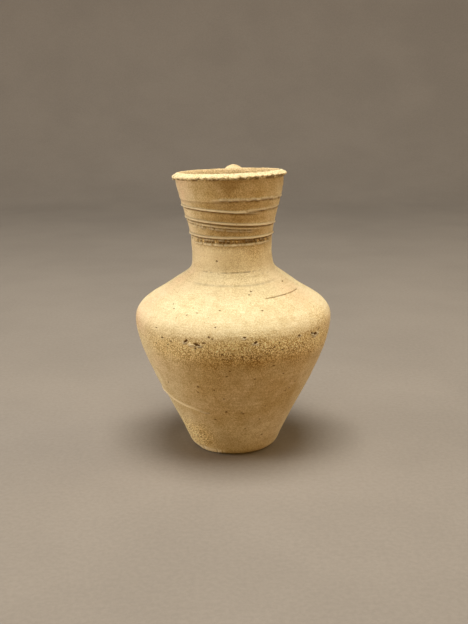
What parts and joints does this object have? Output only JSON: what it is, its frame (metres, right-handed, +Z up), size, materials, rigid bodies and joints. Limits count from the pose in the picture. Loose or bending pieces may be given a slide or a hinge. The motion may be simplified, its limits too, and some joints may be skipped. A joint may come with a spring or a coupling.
{
  "type": "ewer",
  "caption": "Small wheel-thrown buff clay ewer with a narrow flat base, carinated belly, ribbed flaring neck, bevelled lip and strap handle.",
  "frame": {"origin": "centre of the flat underside, on the surface that the ewer stands on", "axes": "+Z up through the mouth, +Y toward the handle, -Y toward the side opposite the handle, +X to the right seen from -Y"},
  "size_m": [0.1068, 0.1068, 0.1543],
  "materials": {
    "buff_clay": "matte"
  },
  "bodies": {
    "root": {"ewer": "buff_clay"}
  },
  "joints": []
}
